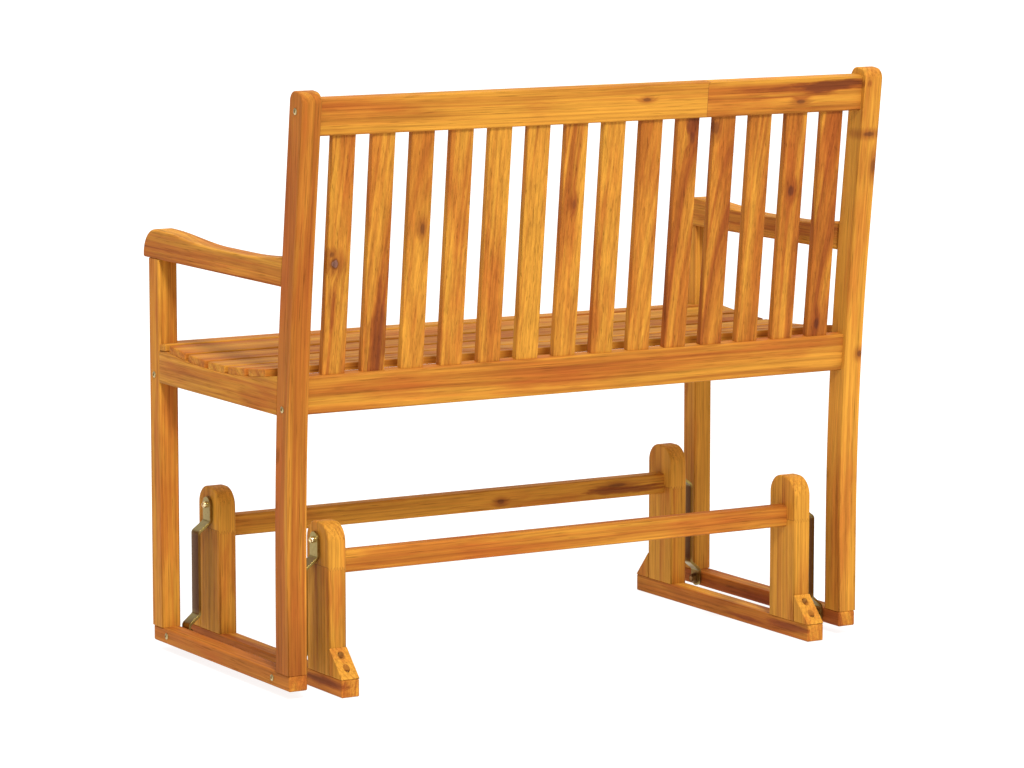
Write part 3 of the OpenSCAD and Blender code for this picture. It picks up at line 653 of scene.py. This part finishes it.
backRails = {
    "top": {"node": "top_rail", "at": panelRise, "height": panel["topHeight"],
            "edge": 3.5, "tone": 0.42, "streak": 0.15, "joint": (-0.2, 99, 0)},
    "lowerBack": {"node": "lower_back_rail", "at": 0.0, "height": panel["lowHeight"],
                  "edge": 3.5, "tone": 0.25, "streak": 0.4},
}
for name, sizes in backRails.items():
    half, deep = sizes["height"] / 2, panel["railThick"] / 2
    bm = prism(rectangle(-deep, deep, -half, half), -sideFrame["inside"], sideFrame["inside"])
    board(name + "Rail", sizes["node"], bm, sizes, "xzy", frameWood, square=atSideFrame,
          place=onPanel(sizes["at"]))

# apron and middle bearer; above flushZ and behind flushY they keep sharp edges under the slats
apron = {"node": "front_apron", "thick": 24.0, "underZ": 425.0, "flushZ": 460.0,
         "edge": 3.0, "tone": 0.3, "streak": 0.35}
bearer = {"node": "seat_bearer", "width": 28.0, "underZ": 431.0, "backZ": 478.0,
          "flushZ": 450.0, "flushY": 150.0, "edge": 2.5, "tone": 0.45, "streak": 0.2}
legY = (sideFrame["legFront"] + sideFrame["legBack"]) / 2
y0, y1 = legY - apron["thick"] / 2, legY + apron["thick"] / 2
outline = [(y0, apron["underZ"]), (y1, apron["underZ"]), (y1, seatHeight(y1)), (y0, seatHeight(y0))]
board("frontApron", apron["node"], prism(outline, -sideFrame["inside"], sideFrame["inside"]),
      apron, "xzy", frameWood, square=lambda v: atSideFrame(v) or v.z > apron["flushZ"])


def panelFrontY(z):
    slope = (panelTop.y - panelLow.y) / (panelTop.z - panelLow.z)
    return panelLow.y + (z - panelLow.z) * slope - panel["railThick"] / 2 * math.hypot(1, slope)


underZ = bearer["underZ"]
outline = [(y1, underZ)] + seatTop(y1, panelFrontY(bearer["backZ"])) + [(panelFrontY(underZ), underZ)]
board("seatBearer", bearer["node"], prism(outline, -bearer["width"] / 2, bearer["width"] / 2), bearer, "yzx",
      frameWood, square=lambda v: v.z > bearer["flushZ"] or v.y < y1 + touch or v.y > bearer["flushY"])
print("rails, apron and bearer built")


# lays a copy of one board on every edge of a path
def layingTree():
    tree = bpy.data.node_groups.new("boardsOnPath", "GeometryNodeTree")
    inputs = {"Geometry": "Geometry", "Board": "Object", "Lift": "Float", "Wood": "Material"}
    for name, kind in inputs.items():
        tree.interface.new_socket(name, in_out="INPUT", socket_type="NodeSocket" + kind)
    tree.interface.new_socket("Geometry", in_out="OUTPUT", socket_type="NodeSocketGeometry")
    given = addNode(tree, "NodeGroupInput").outputs
    ends = addNode(tree, "GeometryNodeInputMeshEdgeVertices").outputs
    run = vectorMaths(tree, "SUBTRACT", ends["Position 2"], ends["Position 1"])
    marked = addNode(tree, "GeometryNodeStoreNamedAttribute", {"data_type": "FLOAT_VECTOR", "domain": "EDGE"},
                     {"Geometry": given["Geometry"], "Name": "run", "Value": run})
    middles = addNode(tree, "GeometryNodeMeshToPoints", {"mode": "EDGES"}, {"Mesh": marked.outputs[0]})
    kept = addNode(tree, "GeometryNodeInputNamedAttribute", {"data_type": "FLOAT_VECTOR"}, {"Name": "run"})
    parts = apart(tree, kept.outputs[0])
    turn = together(tree, maths(tree, "ARCTAN2", parts[2], parts[1]))
    boardShape = addNode(tree, "GeometryNodeObjectInfo", None, {"Object": given["Board"]}).outputs["Geometry"]
    lifted = addNode(tree, "GeometryNodeTransform", None, {
        "Geometry": boardShape, "Translation": together(tree, 0.0, 0.0, given["Lift"])})
    laid = addNode(tree, "GeometryNodeInstanceOnPoints", None, {
        "Points": middles.outputs[0], "Instance": lifted.outputs[0], "Rotation": turn})
    solid = addNode(tree, "GeometryNodeRealizeInstances", None, {0: laid.outputs[0]})
    dressed = addNode(tree, "GeometryNodeSetMaterial", None, {
        "Geometry": solid.outputs[0], "Material": given["Wood"]})
    addNode(tree, "NodeGroupOutput", None, {0: dressed.outputs[0]})
    return tree


boardsOnPath = layingTree()


def layBoards(name, path, boards, shape, axes, nodes, lift=0.0):
    # path: the joints between the boards; boards: tone, streak and joint of each one
    model = meshOf(name + "Model", shape)
    markGrain(model, axes)
    modelPiece = evenNormals(newPiece(name + "Model", model, slatWood))
    line = bpy.data.meshes.new(name)
    line.from_pydata([[v * mm for v in p] for p in path], [(i, i + 1) for i in range(len(path) - 1)], [])
    for key in ("seed", "joint"):
        layer = line.attributes.new(key, "FLOAT_VECTOR", "EDGE")
        for value, look in zip(layer.data, boards):
            value.vector = anySeed() if key == "seed" else look.get("joint", noJoint)
    for key in ("tone", "streak"):
        layer = line.attributes.new(key, "FLOAT", "EDGE")
        for value, look in zip(layer.data, boards):
            value.value = look[key]
    piece = newPiece(name, line, slatWood)
    modifier = piece.modifiers.new("boardsOnPath", "NODES")
    modifier.node_group = boardsOnPath
    sockets = {s.name: s.identifier for s in boardsOnPath.interface.items_tree if s.in_out == "INPUT"}
    modifier[sockets["Board"]] = modelPiece
    modifier[sockets["Lift"]] = lift * mm
    modifier[sockets["Wood"]] = slatWood
    applied(piece)
    bpy.data.objects.remove(modelPiece)
    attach(piece, "bench")
    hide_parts(*nodes)
    return piece


backSlats = {
    "edge": 1.8,
    "boards": [
        {"tone": 0.45, "streak": 0.35}, {"tone": 0.3, "streak": 0.4}, {"tone": 0.4, "streak": 0.2},
        {"tone": 0.65, "streak": 0.2}, {"tone": 0.7, "streak": 0.2}, {"tone": 0.7, "streak": 0.3},
        {"tone": 0.65, "streak": 0.45}, {"tone": 0.6, "streak": 0.3}, {"tone": 0.2, "streak": 0.4},
        {"tone": 0.25, "streak": 0.4}, {"tone": 0.1, "streak": 0.5}, {"tone": 0.1, "streak": 0.4},
        {"tone": 0.0, "streak": 0.6}, {"tone": 0.0, "streak": 0.7},
    ],
}
space = (2 * sideFrame["inside"] - panel["slats"] * panel["slatWidth"]) / (panel["slats"] + 1)
slatPitch = space + panel["slatWidth"]
slatLength = panelRise - panel["lowHeight"] / 2 - panel["topHeight"] / 2 + 2 * panel["tenon"]
halfX, halfY = panel["slatWidth"] / 2, panel["slatThick"] / 2
slatShape = prism(rectangle(-halfX, halfX, -halfY, halfY), -slatLength / 2, slatLength / 2, "z")
roundEdges(slatShape, backSlats["edge"])
slatShape.transform(panelTurn)
middle = panelLow.lerp(panelTop, (panel["lowHeight"] / 2 - panel["tenon"] + slatLength / 2) / panelRise)
firstX = sideFrame["inside"] - space / 2
backPath = [(firstX - i * slatPitch, middle.y, middle.z) for i in range(panel["slats"] + 1)]
layBoards("backSlats", backPath, backSlats["boards"], slatShape, "zxy",
          ["back_slat_%d" % i for i in range(1, panel["slats"] + 1)])

seatSlats = {
    "edge": 2.2, "lowerEdge": 0.6,
    "boards": [
        {"tone": 0.45, "streak": 0.2}, {"tone": 0.3, "streak": 0.35}, {"tone": 0.6, "streak": 0.15},
        {"tone": 0.35, "streak": 0.3}, {"tone": 0.5, "streak": 0.25},
    ],
    "front": {"edge": 2.2, "tone": 0.4, "streak": 0.25},
}
halfWidth = seat["width"] / 2
slatShape = prism(rectangle(-halfWidth, halfWidth, 0, seat["thick"]), -seat["half"], seat["half"])
roundEdges(slatShape, seatSlats["edge"], lambda v: v.z < touch)
roundEdges(slatShape, seatSlats["lowerEdge"])
seatPath = [(0, p[0], p[1]) for p in seatLine[1:seat["count"] + 1]]
layBoards("seatSlats", seatPath, seatSlats["boards"], slatShape, "xyz",
          ["seat_slat_%d" % i for i in range(2, seat["count"] + 1)], seat["lift"])

# the front slat is notched round the front legs
a, b = seatLine[0], seatLine[1]
slope = math.atan2(b[1] - a[1], b[0] - a[0])
frontMiddle = Vector((0, (a[0] + b[0]) / 2, (a[1] + b[1]) / 2))
frontPlace = Matrix.Translation(frontMiddle * mm) @ Matrix.Rotation(slope, 4, "X")
notchX = sideFrame["inside"] - seat["notchRoom"]
notchY = (sideFrame["legBack"] + seat["notchRoom"] - frontMiddle.y) / math.cos(slope)
notched = [
    (-notchX, -halfWidth), (notchX, -halfWidth), (notchX, notchY), (seat["half"], notchY),
    (seat["half"], halfWidth), (-seat["half"], halfWidth), (-seat["half"], notchY), (-notchX, notchY),
]
board("frontSeatSlat", "seat_slat_1", prism(notched, seat["lift"], seat["thick"] + seat["lift"], "z"),
      seatSlats["front"], "xyz", slatWood, place=frontPlace)
print("slats laid")

# base on the floor, each upright with a finger joint and a glue line
base = {
    "out": 434.5, "inside": 404.5,
    "footFront": -275.0, "footBack": 239.5, "footHeight": 27.0,
    "uprights": {"front": -203.5, "rear": 163.5},
    "uprightWidth": 72.0, "uprightTop": 258.0, "uprightRound": 30.0,
    "stretcherZ": 194.0, "stretcherHeight": 33.5, "stretcherThick": 26.0,
}
feet = {
    "left": {"edge": 2.0, "tone": 0.4, "streak": 0.5},
    "right": {"edge": 2.0, "tone": 0.5, "streak": 0.3},
}
# the uprights' high tone makes them paler: painted light that lifts them where the posts shade them
uprights = {
    "left": {"front": {"edge": 3.2, "tone": 1.3, "streak": 0.0, "joint": (0.186, -0.203, 0)},
             "rear": {"edge": 3.2, "tone": 1.1, "streak": 0.05, "joint": (0.186, 0.163, 0)}},
    "right": {"front": {"edge": 3.2, "tone": 1.2, "streak": 0.0, "joint": (0.186, -0.203, 0)},
              "rear": {"edge": 3.2, "tone": 1.1, "streak": 0.1, "joint": (0.186, 0.163, 0)}},
}
stretchers = {
    "front": {"edge": 3.0, "tone": 0.9, "streak": 0.15},
    "rear": {"edge": 3.0, "tone": 0.25, "streak": 0.3},
}


def uprightOutline(y):
    half, r = base["uprightWidth"] / 2, base["uprightRound"]
    top, foot = base["uprightTop"], base["footHeight"]
    points = [(y - half, foot)] + arcPoints((y - half + r, top - r), r, 180, 90)
    return points + arcPoints((y + half - r, top - r), r, 90, 0) + [(y + half, foot)]


for side in sides:
    low, high = acrossX(side, base["inside"], base["out"])
    footOutline = rectangle(base["footFront"], base["footBack"], 0, base["footHeight"])
    board(side + "Foot", side + "_foot", prism(footOutline, low, high), feet[side], "yzx", baseWood, "base")
    for end, y in base["uprights"].items():
        board(side + end.title() + "Upright", "%s_%s_upright" % (side, end),
              prism(uprightOutline(y), low, high), uprights[side][end], "zyx", baseWood, "base",
              square=lambda v: v.z < base["footHeight"] + touch)
for end, y in base["uprights"].items():
    z, h, t = base["stretcherZ"], base["stretcherHeight"] / 2, base["stretcherThick"] / 2
    board(end + "Stretcher", end + "_stretcher",
          prism(rectangle(y - t, y + t, z - h, z + h), -base["inside"], base["inside"]),
          stretchers[end], "xzy", baseWood, "base", square=lambda v: abs(v.x) > base["inside"] - touch)


def solidCopy(node):
    # a CAD solid with its doubles merged and its flat faces joined
    bm = bmesh.new()
    bm.from_mesh(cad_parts[node].data)
    bmesh.ops.remove_doubles(bm, verts=bm.verts, dist=weld)
    bmesh.ops.dissolve_limit(bm, angle_limit=flatAngle, verts=bm.verts, edges=bm.edges)
    return bm


# bare wood in the screw wells, made darker than the oiled faces as painted shade inside the recess, and bare
# wood on the dowels; grain is in repeats per metre
bareWoods = {
    "drilled": {"pale": (0.42, 0.165, 0.022, 1), "dark": (0.27, 0.09, 0.012, 1), "contrast": (0.35, 0.65),
                "grain": (900.0, 900.0, 900.0), "detail": 3.0, "raggedness": 0.6,
                "rough": (0.3, 0.55), "shine": 0.1},
    "dowel": {"pale": (0.62, 0.42, 0.2, 1), "dark": (0.45, 0.27, 0.11, 1),
              "grain": (300.0, 300.0, 60.0), "detail": 3.0, "raggedness": 0.5,
              "rough": (0.2, 0.5), "shine": 0.5},
}


def bareWood(name, look):
    material, tree, shader = newMaterial(name)
    place = stretched(tree, objectPlace(tree), look["grain"])
    fibre = noise(tree, place, 1.0, look["detail"], look["raggedness"])[0]
    share = fade(tree, fibre, *look["contrast"]) if "contrast" in look else fibre
    tree.links.new(mixColour(tree, share, look["pale"], look["dark"]), shader.inputs["Base Color"])
    tree.links.new(times(tree, fibre, *look["rough"]), shader.inputs["Roughness"])
    shader.inputs["Specular IOR Level"].default_value = look["shine"]
    return material


# the well wood is bare drilled acacia, darkened as painted shade of the recess
wellWoodPaintedShade = bareWood("wellAcaciaPaintedShade", bareWoods["drilled"])
plugWood = bareWood("dowelWood", bareWoods["dowel"])

gussets = {"edge": 1.0, "segments": 2, "longEdge": 8.0, "tone": 1.5, "streak": 0.0,
           "wellRadius": 5.3, "wellRoom": 0.2, "wellLean": 0.1, "wellFromTip": 13.5, "wellUp": 32.0}
wellYs = {"front": base["footFront"] + gussets["wellFromTip"],
          "rear": base["footBack"] - gussets["wellFromTip"]}
for side in sides:
    for end in base["uprights"]:
        node = "%s_%s_gusset" % (side, end)
        bm = solidCopy(node)
        wellX, wellY = sides[side] * (base["inside"] + base["out"]) / 2, wellYs[end]
        wellZ = base["footHeight"] + gussets["wellUp"]
        reach = gussets["wellRadius"] + gussets["wellRoom"]
        # the well walls take the second finish: bare drilled wood, darkened as painted shade of the recess
        for face in bm.faces:  # the drilled walls of the two screw wells, one upright and one level
            x, y, z = face.calc_center_median() / mm
            upright = abs(face.normal.z) < gussets["wellLean"] and math.hypot(x - wellX, y - wellY) < reach
            level = abs(face.normal.y) < gussets["wellLean"] and math.hypot(x - wellX, z - wellZ) < reach
            face.material_index = 1 if upright or level else 0
        longEdges = [e for e in bm.edges if e.calc_length() > gussets["longEdge"] * mm
                     and e.calc_face_angle(0) > sharpAngle]
        bevelled(bm, longEdges, gussets["edge"], gussets["segments"])
        name = side + end.title() + "Gusset"
        mesh = meshOf(name, bm)
        markWood(mesh, gussets, "zyx")
        piece = evenNormals(newPiece(name, mesh, baseWood, wellWoodPaintedShade))
        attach(piece, "base")
        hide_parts(node)
print("base built")

# metals: worn is their colour where they are rubbed, and rough is the least roughness;
# cloud and rub are two patterns, each with its repeats per metre, detail and roughness
metals = {
    # the straps' straight middle is painted dark brown: painted shade and painted reflection of the wood
    "strap": {"colour": (0.27, 0.19, 0.05, 1), "worn": (0.36, 0.27, 0.085, 1), "rough": 0.21,
              "paintedShadeBrown": (0.13, 0.047, 0.004, 1), "paintedShadeShare": 0.88, "paintedShadeZ": (56, 66, 182, 192)},
    "bronze": {"colour": (0.17, 0.085, 0.02, 1), "worn": (0.27, 0.15, 0.045, 1), "rough": 0.39},
    "browned": {"colour": (0.33, 0.14, 0.03, 1), "worn": (0.43, 0.2, 0.05, 1), "rough": 0.44},
    "zinc": {"colour": (0.42, 0.32, 0.14, 1), "worn": (0.62, 0.5, 0.26, 1), "rough": 0.24},
    "brass": {"colour": (0.85, 0.66, 0.28, 1), "worn": (0.95, 0.84, 0.55, 1), "rough": 0.14},
}
metalSurface = {
    "cloud": (160.0, 3.0, 0.6), "cloudShare": 0.8, "cloudRough": 0.22,
    "rub": (1400.0, 2.0, 0.5), "rubStretch": (1.0, 1.0, 0.12), "rubShare": 0.4,
    "wear": (0.45, 0.85), "bump": {"Strength": 0.2, "Distance": 0.1 * mm},
}


def metal(name, look):
    material, tree, shader = newMaterial(name)
    surface, place = metalSurface, objectPlace(tree)
    cloud = noise(tree, place, *surface["cloud"])[0]
    rub = noise(tree, stretched(tree, place, surface["rubStretch"]), *surface["rub"])[0]
    wear = times(tree, rub, surface["rubShare"], times(tree, cloud, surface["cloudShare"]))
    colour = mixColour(tree, fade(tree, wear, *surface["wear"]), look["colour"], look["worn"])
    if "paintedShadeBrown" in look:  # painted shade and painted reflection of the wood make the straight middle of the straps dark brown
        low, lowEnd, high, highEnd = [z * mm for z in look["paintedShadeZ"]]
        z = apart(tree, place)[2]
        above, below = fade(tree, z, low, lowEnd), fade(tree, z, high, highEnd, look["paintedShadeShare"], 0.0)
        colour = mixColour(tree, times(tree, above, below), colour, look["paintedShadeBrown"])
    rough = times(tree, cloud, surface["cloudRough"], look["rough"])
    bump = addNode(tree, "ShaderNodeBump", None, {**surface["bump"], "Height": rub})
    tree.links.new(colour, shader.inputs["Base Color"])
    tree.links.new(rough, shader.inputs["Roughness"])
    tree.links.new(bump.outputs[0], shader.inputs["Normal"])
    shader.inputs["Metallic"].default_value = 1.0
    return material


strapSteel = metal("strapSteel", metals["strap"])
bronzedSteel = metal("bronzedSteel", metals["bronze"])
brownedSteel = metal("brownedSteel", metals["browned"])
zincSteel = metal("zincSteel", metals["zinc"])
brassHead = metal("brassHead", metals["brass"])

links = {"edge": 0.5, "segments": 2, "sharpAngle": 45}
for side in sides:
    for end in base["uprights"]:
        node = "%s_%s_link" % (side, end)
        name = side + end.title() + "Link"
        piece = newPiece(name, meshOf(name, solidCopy(node)), strapSteel)
        rounding = piece.modifiers.new("rounding", "BEVEL")
        rounding.width, rounding.segments = links["edge"] * mm, links["segments"]
        rounding.limit_method, rounding.angle_limit = "ANGLE", math.radians(links["sharpAngle"])
        rounding.harden_normals = False
        applied(piece)
        evenNormals(piece)
        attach(piece, node)
        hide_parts(node)

# the CAD's own fittings only get a finish
fittings = {
    "frame_bolts": zincSteel, "barrel_nuts": zincSteel,
    "lower_pivot_bolts": zincSteel, "lower_pivot_nuts": bronzedSteel,
    "upper_pivot_bolts": brassHead, "upper_pivot_washers": zincSteel,
    "base_screws": brownedSteel,
    "seat_pegs": plugWood, "frame_dowels": plugWood, "base_dowels": plugWood,
}
for node, material in fittings.items():
    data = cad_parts[node].data
    data.materials.clear()
    data.materials.append(material)
print("metal and fittings finished")

# plain white studio; floor size and camera place are in metres
white = (1, 1, 1, 1)
studio = {
    "floor": (0.25, 0.25, 0.25, 1), "floorGlow": 0.85, "floorSize": 160.0, "floorDrop": 0.5 * mm,
    "fill": 0.3, "overhead": 1.15, "backdrop": 1.0,
    "lights": {
        "key": {"from": (0.2, 0.7, 0.69), "softness": 12.0, "power": 2.75},
        "front": {"from": (-0.5, -0.75, 0.45), "softness": 70.0, "power": 0.7},
    },
    "camera": {"at": (3.4513, 5.9094, 1.3915), "yaw": 30.2852, "pitch": 8.1246,
               "lens": 153.981, "sensor": 36.0, "reach": 300.0},
}
mesh = bpy.data.meshes.new("studioFloor")
reach = studio["floorSize"] / 2
corners = [(x, y, -studio["floorDrop"]) for x, y in rectangle(-reach, reach, -reach, reach)]
mesh.from_pydata(corners, [], [(0, 1, 2, 3)])
floorMaterial, tree, shader = newMaterial("floorPaint")
for key, value in (("Base Color", studio["floor"]), ("Roughness", 1.0), ("Specular IOR Level", 0.0),
                   ("Emission Color", white), ("Emission Strength", studio["floorGlow"])):
    shader.inputs[key].default_value = value
floor = newPiece("studioFloor", mesh, floorMaterial)

world = bpy.data.worlds.new("studioWorld")  # white to the eye, softer as a fill light
world.use_nodes = True
worldTree = world.node_tree
worldTree.nodes.clear()
seen = addNode(worldTree, "ShaderNodeLightPath").outputs["Is Camera Ray"]
up = apart(worldTree, addNode(worldTree, "ShaderNodeTexCoord").outputs["Generated"])[2]
soft = times(worldTree, highest(worldTree, up, 0.0), studio["overhead"], studio["fill"])
level = addNode(worldTree, "ShaderNodeMix", None, {0: seen, 2: soft, 3: studio["backdrop"]}).outputs[0]
sky = addNode(worldTree, "ShaderNodeBackground", None, {"Color": white, "Strength": level})
addNode(worldTree, "ShaderNodeOutputWorld", None, {"Surface": sky.outputs[0]})
scene.world = world

for name, look in studio["lights"].items():
    sun = bpy.data.lights.new(name + "Light", "SUN")
    sun.energy, sun.angle = look["power"], math.radians(look["softness"])
    lamp = bpy.data.objects.new(name + "Light", sun)
    lamp.rotation_euler = (-Vector(look["from"])).to_track_quat("-Z", "Y").to_euler()
    lamp.visible_glossy = name == "key"  # only the key light shines back from the metal
    scene.collection.objects.link(lamp)

view = studio["camera"]
cameraData = bpy.data.cameras.new("studioCamera")
cameraData.lens, cameraData.sensor_width = view["lens"], view["sensor"]
cameraData.clip_end = view["reach"]
camera = bpy.data.objects.new("studioCamera", cameraData)
yaw, pitchDown = math.radians(view["yaw"]), math.radians(view["pitch"])
along = math.cos(pitchDown)
ahead = Vector((-math.sin(yaw) * along, -math.cos(yaw) * along, -math.sin(pitchDown)))
camera.location = view["at"]
camera.rotation_euler = ahead.to_track_quat("-Z", "Y").to_euler()
scene.collection.objects.link(camera)
scene.camera = camera
print("studio set")
